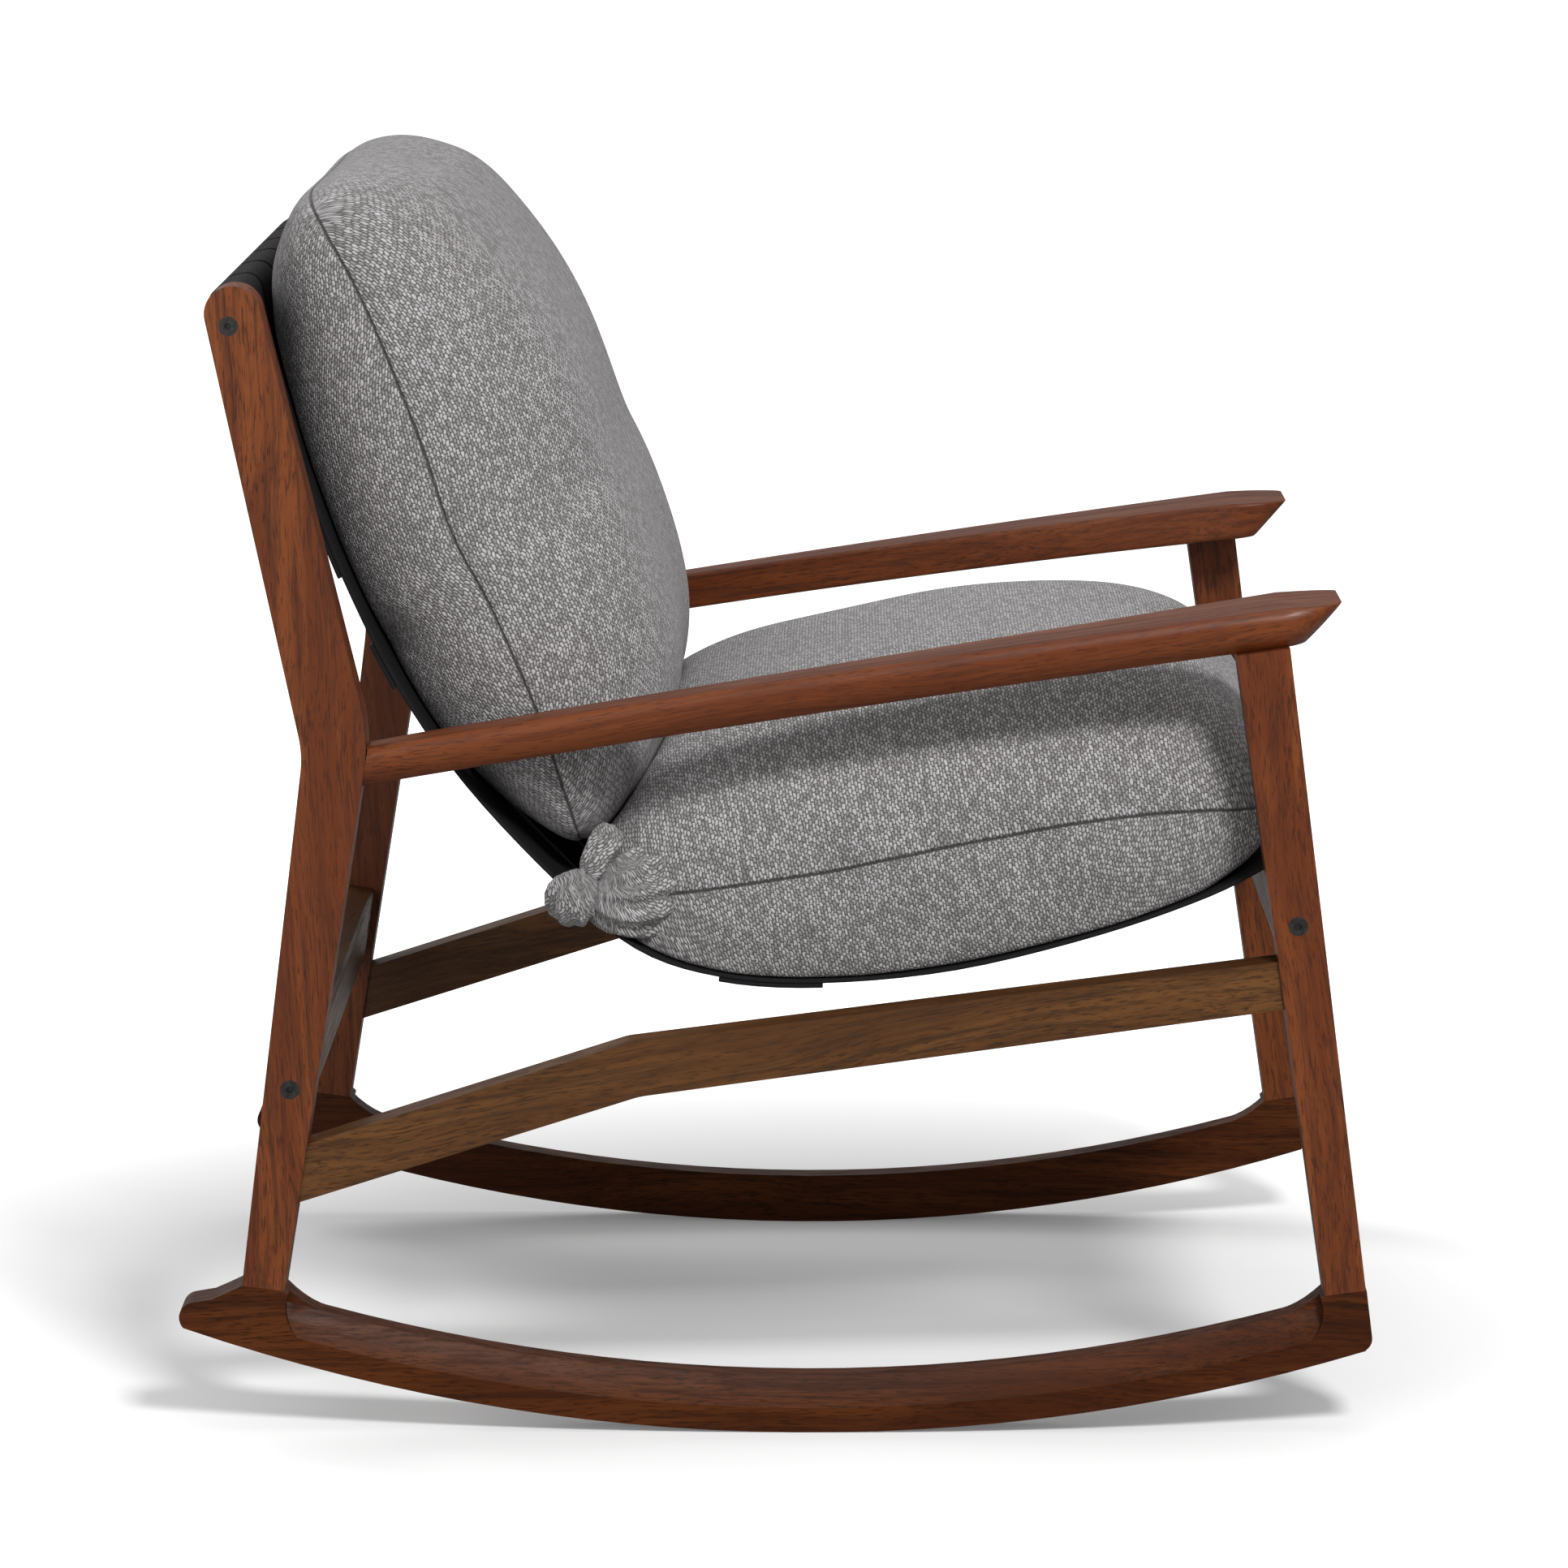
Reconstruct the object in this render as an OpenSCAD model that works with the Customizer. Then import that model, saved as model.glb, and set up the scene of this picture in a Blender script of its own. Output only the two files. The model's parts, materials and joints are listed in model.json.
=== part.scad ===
// Lounge rocking chair: two bolted-up side frames, three cross rails, a sling of webbing
// straps and two loose cushions. Millimetres, +Z up, +X towards the front of the chair.
// The origin is on the floor, in the middle of the chair's length and width.

/* [Overall] */
// Width over the two side frames
frame_w = 620; // [600:5:660]
// Length of a rocker, tip to tip
rocker_len = 760; // [750:5:770]
// Thickness of the side frame boards
board_t = 32; // [28:1:34]

/* [Rockers] */
// Radius of the curve that rolls on the floor
rocker_r = 1200; // [1150:10:1260]
// Height of the rocker board
rocker_h = 34; // [32:1:36]
// Where the lowest point lies, ahead of the middle
rocker_low_x = 20; // [16:1:24]
// How far the scoop goes down the outer face
scoop_h = 18; // [14:1:20]
// Depth of the scoop at the top edge
scoop_d = 13; // [6:1:15]

/* [Armrests] */
// Thickness of an armrest
arm_t = 25; // [24:1:27]
// Width of an armrest at the post
arm_w_rear = 30; // [28:1:34]
// Width of an armrest at its front paddle
arm_w_front = 88; // [84:1:96]

/* [Rails] */
// Thickness of the three cross rails
rail_t = 22; // [20:1:24]
// Height of the top rail
top_rail_h = 38; // [36:1:40]
// Height of the front rail
front_rail_h = 67; // [62:1:70]
// Height of the rear rail
rear_rail_h = 48; // [44:1:52]

/* [Sling] */
// Number of straps side by side; the list of parts has a name for each
strap_count = 6; // [6:1:6]
// Width of one strap
strap_w = 81; // [76:1:82]
// Gap between neighbouring straps
strap_gap = 10; // [8:1:12]
// Thickness of the webbing
strap_t = 2.5; // [2:0.5:3]

/* [Cushions] */
// Width of both cushions
cushion_w = 546; // [530:2:550]
// Half thickness of the seat cushion at its sides
seat_r = 65; // [60:1:66]
// Half thickness of the back cushion at its sides
back_r = 68; // [62:1:70]
// Extra thickness in the middle of a cushion
crown = 40; // [20:1:42]
// Thickness of the foam sheet in the middle of the back cushion
back_core_t = 30; // [24:2:40]
// Thickness of the fabric cover
cover_t = 2; // [1.5:0.5:3]

/* [Fasteners] */
// Radius of a frame bolt's shank
bolt_r = 3; // [2.5:0.5:4]
// Radius of a frame bolt's countersunk head
bolt_head_r = 6.2; // [6:0.1:7]
// Radius of the wooden dowels
dowel_r = 4; // [3:0.5:4.5]
// Radius of a barrel nut
nut_r = 5; // [4.5:0.5:5.5]

/* [Hidden] */
$fn = 48;
wood = "sienna";
wood_dark = "saddlebrown";
webbing = [0.12, 0.12, 0.13];
steel = [0.3, 0.3, 0.32];
tweed = "gray";
wadding = "whitesmoke";
beech = "burlywood";
side_y = frame_w / 2 - board_t / 2; // middle plane of a side frame
inner_w = frame_w - 2 * board_t;    // clear width between the side frames
eps = 0.01;

// ---- Points in the side view, as [X, Z] ----

// Back post: it kinks where the armrest meets it
post_foot_rear = [-339.5, 95.5];
post_foot_front = [-312.5, 92];
post_kink_rear = [-297, 438];
post_kink_front = [-255, 448];
post_head = [-337.5, 715]; // middle of the round top
post_head_r = 17.5;
// Front leg
leg_foot_rear = [349, 90];
leg_foot_front = [375.5, 93.5];
leg_head_rear = [287.5, 510];
leg_head_front = [321, 516];
// Armrest: underside of its outline, which is slightly arched
arm_rear = [-259.5, 417];
arm_middle = [124, 478];
arm_front = [334, 507.5];
arm_lean = 22;    // how far the tip overhangs the underside
arm_tip = 16;     // length of the rounded front
arm_corner_out = 20;
arm_corner_in = 12;
arm_mortise = 14; // how deep the leg's dowels go into the armrest
// Side stretcher: it kinks a third of the way along
stretcher_kink = [-90, 235.5];
stretcher_rear = [-296, 169.5];
stretcher_front = [318, 290];
stretcher_h_rear = 34.5;
stretcher_h_kink = 35.5;
stretcher_h_front = 31;
stretcher_t = board_t - 6;
// Rails: the middle of each section, which is also its bolt
top_rail_c = [-340, 707.5];
rear_rail_c = [-307.5, 223];
front_rail_c = [329.5, 329];
rail_edge_r = 3;
top_rail_edge_r = 9;
// Sling: points along the middle of the webbing, from the top rail to the front rail
sling_points = [
    [-311, 655], [-296, 606], [-273, 545], [-239, 475], [-196, 412], [-138, 349],
    [-89, 307], [-36, 289], [30, 285], [115, 293.5], [205, 316], [275, 341]
];

// ---- Small geometry helpers ----

function unit(v) = v / norm(v);
function lerp(a, b, t) = a + (b - a) * t;
function turn(v, a) = [v.x * cos(a) - v.y * sin(a), v.x * sin(a) + v.y * cos(a)];
function angle_of(v) = atan2(v.y, v.x);
function arc(c, r, a0, a1, n) =
    [for (k = [0:n]) c + r * [cos(lerp(a0, a1, k / n)), sin(lerp(a0, a1, k / n))]];
// The X of the line through a and b at height z
function x_at(a, b, z) = a.x + (b.x - a.x) * (z - a.y) / (b.y - a.y);
// Where the line from p along d meets the line through a and b
function meet(p, d, a, b) =
    let (e = b - a, w = a - p, k = (w.x * e.y - w.y * e.x) / (d.x * e.y - d.y * e.x))
    p + d * k;
// The short way round from angle a to angle b
function sweep(a, b) = let (d = (b - a) % 360) d > 180 ? d - 360 : d < -180 ? d + 360 : d;
// Corner b between a and c, rounded to radius r
function corner(a, b, c, r, n) =
    let (
        u = unit(a - b),
        v = unit(c - b),
        half = acos(u * v) / 2,
        o = b + unit(u + v) * r / sin(half),
        s = angle_of(b + u * r / tan(half) - o),
        e = angle_of(b + v * r / tan(half) - o)
    )
    r == 0 ? [b] : arc(o, r, s, s + sweep(s, e), n);
// An outline of [x, z, corner radius] points, rounded
function rounded(p, n = 8) =
    let (m = len(p), q = [for (c = p) [c.x, c.y]])
    [for (i = [0:m - 1]) each corner(q[(i + m - 1) % m], q[i], q[(i + 1) % m], p[i].z, n)];
// A smooth curve through the points p, with n steps between each two
function smooth(p, n) =
    let (m = len(p))
    [
        for (i = [0:m - 2])
            for (k = [0:n - 1])
                let (
                    a = p[max(i - 1, 0)],
                    b = p[i],
                    c = p[i + 1],
                    d = p[min(i + 2, m - 1)],
                    t = k / n
                )
                0.5 * (2 * b + (c - a) * t + (2 * a - 5 * b + 4 * c - d) * t ^ 2
                    + (3 * b - a - 3 * c + d) * t ^ 3),
        p[m - 1]
    ];
// Unit normal of path p at point i, on its left hand
function normal_at(p, i) = turn(unit(p[min(i + 1, len(p) - 1)] - p[max(i - 1, 0)]), 90);
// A band of thickness t whose middle runs a distance off to the left of path p
function band(p, t, off = 0) = concat(
    [for (i = [0:len(p) - 1]) p[i] + normal_at(p, i) * (off + t / 2)],
    [for (i = [len(p) - 1:-1:0]) p[i] + normal_at(p, i) * (off - t / 2)]
);

// ---- Directions and derived outlines ----

post_low_up = unit((post_kink_rear + post_kink_front) - (post_foot_rear + post_foot_front));
post_high_up = unit(post_head - (post_kink_rear + post_kink_front) / 2);
leg_up = unit((leg_head_rear + leg_head_front) - (leg_foot_rear + leg_foot_front));
top_tilt = 90 - angle_of(post_high_up);
rear_tilt = 90 - angle_of(post_low_up);
front_tilt = 90 - angle_of(leg_up);

// Point of contact of the tangent from p to the post's round top; side is 1 or -1
function head_tangent(p, side) =
    let (d = post_head - p, a = acos(post_head_r / norm(d)))
    post_head + post_head_r * turn(unit(-d), side * a);
head_rear = head_tangent(post_kink_rear, -1);
head_front = head_tangent(post_kink_front, 1);
post_outline = let (
    a = angle_of(head_front - post_head),
    b = a + 360 + sweep(a, angle_of(head_rear - post_head)) % 360,
    turn_by = b - a > 360 ? b - a - 360 : b - a
) concat(
    [post_foot_rear, post_foot_front],
    corner(post_foot_front, post_kink_front, head_front, 110, 10),
    arc(post_head, post_head_r, a, a + turn_by, 24),
    corner(head_rear, post_kink_rear, post_foot_rear, 70, 8)
);

// The rocker's arcs share a centre above the floor
rocker_c = [rocker_low_x, rocker_r];
rocker_top_r = rocker_r - rocker_h;
strap_screw_r = 1.6;
strap_screw_len = 12;
nose_r = 10;
nose_c = [-rocker_len / 2 + nose_r, 74.5];
pad_run = 26; // how far the rocker's top sweeps up to a foot
pad_dip = 0.15; // how far the sweep starts under the top edge
// Height of the rocker's top edge at x, before it is swept up
function rocker_top(x) = rocker_c.y - sqrt(rocker_top_r ^ 2 - (x - rocker_c.x) ^ 2);
// The sweep up to a foot, away from it on side s (1 forward, -1 back)
function pad_sweep(foot, s) = [
    for (k = [0:5])
        let (x = foot.x + s * pad_run * k / 5)
        [x, rocker_top(x) - pad_dip + (foot.y - rocker_top(foot.x) + pad_dip) * (1 - k / 5) ^ 2]
];

// The front leg's top follows the underside of the armrest
function leg_edge(a, b) = meet(a, b - a, arm_middle, arm_front);
leg_outline = [
    leg_foot_rear,
    leg_foot_front,
    leg_edge(leg_foot_front, leg_head_front),
    leg_edge(leg_foot_rear, leg_head_rear)
];

// Stretcher corners, cut to the post's front edge and to the leg's rear edge
str_rear_dir = unit(stretcher_kink - stretcher_rear);
str_front_dir = unit(stretcher_front - stretcher_kink);
function above(p, d, h) = p + turn(d, 90) * h;
str_mid_dir = unit(str_rear_dir + str_front_dir);
function on_post(p, d) = meet(p, d, post_foot_front, post_kink_front);
function on_leg(p, d) = meet(p, d, leg_foot_rear, leg_head_rear);
kink_top = above(stretcher_kink, str_mid_dir, stretcher_h_kink / 2);
kink_low = above(stretcher_kink, str_mid_dir, -stretcher_h_kink / 2);
rear_top = above(stretcher_rear, str_rear_dir, stretcher_h_rear / 2);
rear_low = above(stretcher_rear, str_rear_dir, -stretcher_h_rear / 2);
front_top = above(stretcher_front, str_front_dir, stretcher_h_front / 2);
front_low = above(stretcher_front, str_front_dir, -stretcher_h_front / 2);
function with_r(p, r) = [p.x, p.y, r];
stretcher_outline = rounded([
    with_r(on_post(rear_low, rear_low - kink_low), 0),
    with_r(kink_low, 60),
    with_r(on_leg(front_low, front_low - kink_low), 0),
    with_r(on_leg(front_top, front_top - kink_top), 0),
    with_r(kink_top, 40),
    with_r(on_post(rear_top, rear_top - kink_top), 0)
]);

// ---- Sling path ----

strap_off = strap_t / 2 + 0.2; // middle of the webbing to the wood it wraps
// Side-view point of a rail's own section coordinates (u forward, v up)
function in_rail(c, tilt, q) = c + turn(q, -tilt);
// Round the top rail: from behind it, over the top and down its front
top_a = rail_t / 2 + strap_off;
top_b = top_rail_h / 2 + strap_off;
top_wrap = [
    for (q = concat(
        corner([top_a, -top_b], [-top_a, -top_b], [-top_a, top_b], top_rail_edge_r, 6),
        corner([-top_a, -top_b], [-top_a, top_b], [top_a, top_b], top_rail_edge_r, 8),
        corner([-top_a, top_b], [top_a, top_b], [top_a, -top_b], top_rail_edge_r, 8),
        [[top_a, -top_b + 8]]
    )) in_rail(top_rail_c, top_tilt, q)
];
// Over the front rail, down its front and under it
front_a = rail_t / 2 + strap_off;
front_b = front_rail_h / 2 + strap_off;
front_r = rail_edge_r + strap_off;
front_rise = 22; // slope at which the webbing reaches the rail
front_wrap = [
    for (q = concat(
        arc([-front_a + front_r, front_b - front_r], front_r, 90 + front_rise, 90, 4),
        corner([-front_a, front_b], [front_a, front_b], [front_a, -front_b], front_r, 6),
        corner([front_a, front_b], [front_a, -front_b], [-front_a, -front_b], front_r, 6),
        [[-front_a + 3, -front_b]]
    )) in_rail(front_rail_c, front_tilt, q)
];
hammock = smooth(concat(
    [top_wrap[len(top_wrap) - 1]], sling_points, [front_wrap[0]]
), 5);
sling = concat(
    [for (i = [0:len(top_wrap) - 2]) top_wrap[i]],
    hammock,
    [for (i = [1:len(front_wrap) - 1]) front_wrap[i]]
);
// The tail comes down behind the top rail and is sewn to the back of the strap
tail_from = 12; // steps down the hammock where the sewn part begins
tail_sewn = 3;  // steps that are sewn
sewn_gap = strap_t + 0.1;
tail = concat(
    [top_wrap[3]],
    smooth([
        top_wrap[1],
        in_rail(top_rail_c, top_tilt, [-2, -top_b - 26]),
        hammock[tail_from] - normal_at(hammock, tail_from) * sewn_gap
    ], 5),
    [
        for (i = [tail_from + 1:tail_from + tail_sewn])
            hammock[i] - normal_at(hammock, i) * sewn_gap
    ]
);
strap_pitch = strap_w + strap_gap;
sling_w = strap_count * strap_pitch - strap_gap;
function strap_y(i) = -sling_w / 2 + strap_w / 2 + i * strap_pitch;
// A point of the sling's hammock, moved d to the sitter's side; i may be a fraction
function on_sling(i, d) =
    let (k = floor(i), p = lerp(hammock[k], hammock[k + 1], i - k))
    p + lerp(normal_at(hammock, k), normal_at(hammock, k + 1), i - k) * d;

// ---- Dowelled joints of a side frame, as [point, direction, spread, back, ahead] ----

dowel_half = 17;
post_foot = (post_foot_rear + post_foot_front) / 2;
leg_foot = (leg_foot_rear + leg_foot_front) / 2;
leg_head = (leg_outline[2] + leg_outline[3]) / 2;
arm_dir = unit(arm_middle - arm_rear);
arm_end = arm_rear + turn(arm_dir, 90) * arm_t / 2;
side_joints = [
    [post_foot, post_low_up, 6, dowel_half, dowel_half],
    [leg_foot, leg_up, 6, dowel_half, dowel_half],
    [leg_head, leg_up, 8, dowel_half, arm_mortise],
    [arm_end, arm_dir, 6, dowel_half, dowel_half],
    [(stretcher_outline[0] + rear_top) / 2, str_rear_dir, 10, dowel_half, dowel_half],
    [stretcher_front, str_front_dir, 9, dowel_half, dowel_half]
];
// Rails, as [middle, tilt, height, dowel spread]
rails = [
    [top_rail_c, top_tilt, top_rail_h, 12],
    [rear_rail_c, rear_tilt, rear_rail_h, 16],
    [front_rail_c, front_tilt, front_rail_h, 23]
];
bolt_len = 62;
nut_in = 22;  // barrel nut's distance from the end of its rail
nut_len = 14;
countersink = 3.4;
socket_r = 2.3;
socket_deep = 2.4;

// ---- Building blocks ----

// A side-view outline made into a board of thickness t on the right-hand frame
module right_board(t) {
    translate([0, -side_y + t / 2, 0])
        rotate([90, 0, 0])
            linear_extrude(t) children();
}

// A side-view outline spread over a width across the chair, centred on y
module across(w, y = 0) {
    translate([0, y + w / 2, 0])
        rotate([90, 0, 0])
            linear_extrude(w) children();
}

// The right-hand part, or its mirror image on the left
module side(left) {
    if (left) mirror([0, 1, 0]) children();
    else children();
}

// A rod of radius r from p, in the side view's plane y, along direction d
module rod(p, d, y, r, back, ahead) {
    translate([p.x, y, p.y])
        rotate([0, 90 - angle_of(d), 0])
            translate([0, 0, -back])
                cylinder(r = r, h = back + ahead);
}

// The dowels of the right-hand frame; the same rods drill their holes
module side_dowels() {
    for (j = side_joints)
        for (s = [-1, 1])
            rod(j[0] + turn(j[1], 90) * s * j[2], j[1], -side_y, dowel_r, j[3], j[4]);
}

// The dowels between the rails and the right-hand frame
module right_rail_dowels() {
    for (r = rails)
        for (s = [-1, 1])
            let (p = in_rail(r[0], r[1], [0, s * r[3]]))
                translate([p.x, -inner_w / 2 - 14, p.y])
                    rotate([-90, 0, 0])
                        cylinder(r = dowel_r, h = 34);
}

// The holes for the bolts through a right-hand post or leg and into the rails
module right_bolt_holes() {
    for (r = rails)
        translate([r[0].x, -frame_w / 2, r[0].y])
            rotate([-90, 0, 0]) {
                cylinder(r = bolt_r, h = bolt_len + 6);
                translate([0, 0, -eps])
                    cylinder(r1 = bolt_head_r, r2 = bolt_r, h = countersink);
            }
}

// A countersunk bolt with a hexagon socket, at the right-hand end of rail r
module right_bolt(r) {
    translate([r[0].x, -frame_w / 2, r[0].y])
        rotate([-90, 0, 0])
            difference() {
                union() {
                    cylinder(r = bolt_r, h = bolt_len);
                    cylinder(r1 = bolt_head_r, r2 = bolt_r, h = countersink);
                }
                translate([0, 0, -eps])
                    cylinder(r = socket_r, h = socket_deep, $fn = 6);
            }
}

// A barrel nut, lying across rail r near its right-hand end
module nut_rod(r, grow) {
    translate([r[0].x, -inner_w / 2 + nut_in, r[0].y])
        rotate([0, 90 + r[1], 0])
            translate([0, 0, -nut_len / 2])
                cylinder(r = nut_r, h = nut_len + grow);
}

module both_ends() {
    children();
    mirror([0, 1, 0]) children();
}

// ---- Wooden frame ----

// The rocker's outline: a ring between two arcs, and an end at each leg. The ends reach
// below the ring, where the floor's arc trims them.
module rocker_outline() {
    reach = 80;
    inset = 4;
    intersection() {
        translate(rocker_c) circle(r = rocker_r, $fn = 720);
        union() {
            difference() {
                polygon([
                    post_foot_front + [-inset, inset],
                    post_foot_front + [-inset, -reach - 40],
                    leg_foot_rear + [inset, -reach - 40],
                    leg_foot_rear + [inset, inset]
                ]);
                translate(rocker_c) circle(r = rocker_top_r, $fn = 720);
            }
            // The nose and the rear pad
            polygon(concat(
                arc(nose_c, nose_r, 255, 95, 12),
                [nose_c + [11, 12], nose_c + [20, 16], post_foot_rear],
                pad_sweep(post_foot_front, 1),
                [post_foot_front + [pad_run, -reach], nose_c + [0, -nose_r - 20]]
            ));
            // The front pad, with a rounded lower corner
            polygon(concat(
                [for (k = [5:-1:0]) pad_sweep(leg_foot_rear, -1)[k]],
                [leg_foot_front, leg_foot_front + [0.5, 0]],
                arc([rocker_len / 2 - 9, 62], 9, 8, -55, 5),
                [leg_foot_rear + [12, -reach], leg_foot_rear + [-pad_run, -reach]]
            ));
        }
    }
}

// The scoop thins the top of the outer face between the legs
module rocker_scoop() {
    run_out = 26; // radius at which the scoop runs out at its ends
    low_r = rocker_top_r + scoop_h + 3;
    high_r = rocker_top_r - 16;
    rear_a = -asin((rocker_c.x - post_foot_front.x) / rocker_top_r);
    front_a = asin((leg_foot_rear.x - rocker_c.x) / rocker_top_r);
    intersection() {
        translate([rocker_c.x, -frame_w / 2, rocker_c.y])
            rotate([90, 0, 0])
                rotate_extrude($fn = 720)
                    polygon([
                        [high_r - 2, -scoop_d],
                        [high_r - 2, 1],
                        [rocker_top_r + scoop_h, 1],
                        [rocker_top_r + scoop_h, 0],
                        [rocker_top_r + scoop_h / 2, -scoop_d * 0.62],
                        [rocker_top_r, -scoop_d]
                    ]);
        right_board(board_t + 4)
            polygon(rounded([
                with_r(rocker_c + turn([0, -high_r], front_a), 0),
                with_r(rocker_c + turn([0, -high_r], rear_a), 0),
                with_r(rocker_c + turn([0, -low_r], rear_a), run_out),
                with_r([rocker_c.x, -40], 0),
                with_r(rocker_c + turn([0, -low_r], front_a), run_out)
            ]));
    }
}

module rocker(left) {
    color(wood) side(left) difference() {
        right_board(board_t) rocker_outline();
        rocker_scoop();
        side_dowels();
    }
}

module back_post(left) {
    color(wood) side(left) difference() {
        right_board(board_t) polygon(post_outline);
        right_bolt_holes();
        right_rail_dowels();
        side_dowels();
    }
}

module front_leg(left) {
    color(wood) side(left) difference() {
        right_board(board_t) polygon(leg_outline);
        right_bolt_holes();
        right_rail_dowels();
        side_dowels();
    }
}

module side_stretcher(left) {
    color(wood_dark) side(left) difference() {
        right_board(stretcher_t) polygon(stretcher_outline);
        side_dowels();
    }
}

// Height of the armrest's underside at x: two slopes blended by a gentle arch
function arm_z(x) =
    let (
        k = (x - arm_rear.x) / (arm_front.x - arm_rear.x),
        chord = lerp(arm_rear.y, arm_front.y, k),
        k_mid = (arm_middle.x - arm_rear.x) / (arm_front.x - arm_rear.x),
        rise = arm_middle.y - lerp(arm_rear.y, arm_front.y, k_mid)
    )
    chord + rise * k * (1 - k) / (k_mid * (1 - k_mid));
// Width of the armrest at x: it flares towards the front
function arm_w(x) =
    let (k = max(0, (x - arm_rear.x) / (arm_front.x - arm_rear.x)))
    lerp(arm_w_rear, arm_w_front, 0.12 * k + 0.88 * k ^ 2.6);
// Section of the armrest, as [distance in from the outer edge, height above the underside]
function arm_section(w) = [
    [8, 0], [3.5, arm_t * 0.16], [0.6, arm_t * 0.38], [0, arm_t * 0.5], [0, arm_t * 0.7],
    [0.8, arm_t * 0.85], [3, arm_t * 0.96], [6.5, arm_t], [w - 2.5, arm_t],
    [w - 0.7, arm_t - 0.8], [w, arm_t - 2.6], [w, 2.6], [w - 0.7, 0.8], [w - 2.5, 0]
];
// One ring of the armrest: k runs from 0 at the post to 1 where the front begins to round,
// and a is the angle round the front
function arm_ring(k, a) =
    let (
        x0 = lerp(arm_rear.x, arm_front.x - arm_tip, k),
        w = arm_w(x0 + arm_tip * sin(a)),
        cut_out = arm_corner_out * (1 - cos(a)),
        cut_in = arm_corner_in * (1 - cos(a)),
        shrink = (w - cut_out - cut_in) / w
    )
    [
        for (q = arm_section(w))
            let (
                z0 = arm_z(x0 + arm_tip * sin(a)),
                lean = k == 0
                    ? x_at(post_foot_front, post_kink_front, z0 + q.y) - arm_rear.x
                    : arm_lean * (q.y / arm_t) * sin(a)
            )
            [x0 + arm_tip * sin(a) + lean, -frame_w / 2 + cut_out + q.x * shrink, z0 + q.y]
    ];

module armrest(left) {
    steps = 20;
    turns = 7;
    rings = concat(
        [for (i = [0:steps]) arm_ring(i / steps, 0)],
        [for (i = [1:turns]) arm_ring(1, 84 * i / turns)]
    );
    n = len(rings[0]);
    last = len(rings) - 1;
    color(wood) side(left) difference() {
        polyhedron(
            points = [for (r = rings) each r],
            faces = concat(
                [[for (j = [0:n - 1]) j]],
                [
                    for (i = [0:last - 1])
                        for (j = [0:n - 1])
                            let (a = i * n + j, b = i * n + (j + 1) % n)
                                each [[a, a + n, b + n], [a, b + n, b]]
                ],
                [[for (j = [n - 1:-1:0]) last * n + j]]
            )
        );
        side_dowels();
    }
}

// A cross rail with rounded edges, drilled for its bolts, barrel nuts and dowels
module cross_rail(r, edge) {
    color(wood_dark) difference() {
        across(inner_w)
            translate(r[0])
                rotate(-r[1])
                    polygon(rounded([
                        [-rail_t / 2, -r[2] / 2, edge],
                        [rail_t / 2, -r[2] / 2, edge],
                        [rail_t / 2, r[2] / 2, edge],
                        [-rail_t / 2, r[2] / 2, edge]
                    ]));
        both_ends() {
            right_bolt_holes();
            right_rail_dowels();
            nut_rod(r, 10);
        }
        if (r[0] == front_rail_c) strap_screw_rods(strap_screw_r, strap_screw_len);
    }
}

// ---- Sling ----

module strap(i) {
    color(webbing) difference() {
        across(strap_w, strap_y(i)) {
            polygon(band(sling, strap_t));
            polygon(band(tail, strap_t));
        }
        strap_screw_rods(strap_screw_r, strap_screw_len);
    }
}

// A strap across the others, sewn to their undersides from step a to step b of the hammock
module cross_strap(a, b) {
    overlap = 2;
    color(webbing)
        across(sling_w + 2 * overlap)
            polygon(band(
                [for (i = [a:b]) hammock[i]], strap_t, -strap_t - 0.1
            ));
}

// Screws that hold the straps under the front rail, two to a strap
module strap_screw_rods(r, deep) {
    for (i = [0:strap_count - 1])
        for (s = [-1, 1])
            let (p = in_rail(front_rail_c, front_tilt, [2, -front_b - strap_t / 2]))
                translate([p.x, strap_y(i) + s * strap_w / 4, p.y])
                    rotate([0, -front_tilt, 0])
                        translate([0, 0, -1])
                            cylinder(r = r, h = deep + 1, $fn = 24);
}

module strap_screws() {
    head_r = 3.5;
    head_h = 1.6;
    color(steel) {
        strap_screw_rods(strap_screw_r, strap_screw_len);
        for (i = [0:strap_count - 1])
            for (s = [-1, 1])
                let (p = in_rail(front_rail_c, front_tilt, [2, -front_b - strap_t / 2]))
                    translate([p.x, strap_y(i) + s * strap_w / 4, p.y])
                        rotate([0, -front_tilt, 0])
                            translate([0, 0, -head_h])
                                cylinder(r = head_r, h = head_h, $fn = 24);
    }
}

// ---- Cushions ----

// Stations of a cushion, as [point, half thickness, extra half thickness in the middle]
function station(i, r, t, rise) = [on_sling(i, r + strap_t / 2 + 0.3), r - t, rise];
function seat_stations(t) = [
    station(32, 15, t, 1),
    station(40.5, seat_r - 2, t, crown * 0.1),
    station(45, seat_r, t, crown * 0.4),
    station(54, seat_r, t, crown * 0.4),
    station(60, seat_r - 6, t, crown * 0.2)
];
function back_stations(t) = [
    station(28.5, 20, t, 2),
    station(24.5, back_r - 8, t, crown * 0.35),
    station(20, back_r, t, crown * 0.45),
    station(12, back_r + 2, t, crown * 0.5),
    station(6, back_r, t, crown * 0.45),
    [[-262, 728], back_r - 6 - t, crown * 0.3]
];

// A plump closed form through the stations: each two are joined by a smooth skin
module cushion(stations, t) {
    for (i = [0:len(stations) - 2])
        hull()
            for (s = [stations[i], stations[i + 1]]) {
                for (y = [-1, 1])
                    translate([s[0].x, y * (cushion_w / 2 - t - s[1]), s[0].y])
                        sphere(r = s[1], $fn = 20);
                translate([s[0].x, 0, s[0].y] + crown_shift(stations, s))
                    sphere(r = s[1] + s[2], $fn = 20);
            }
}

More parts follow.
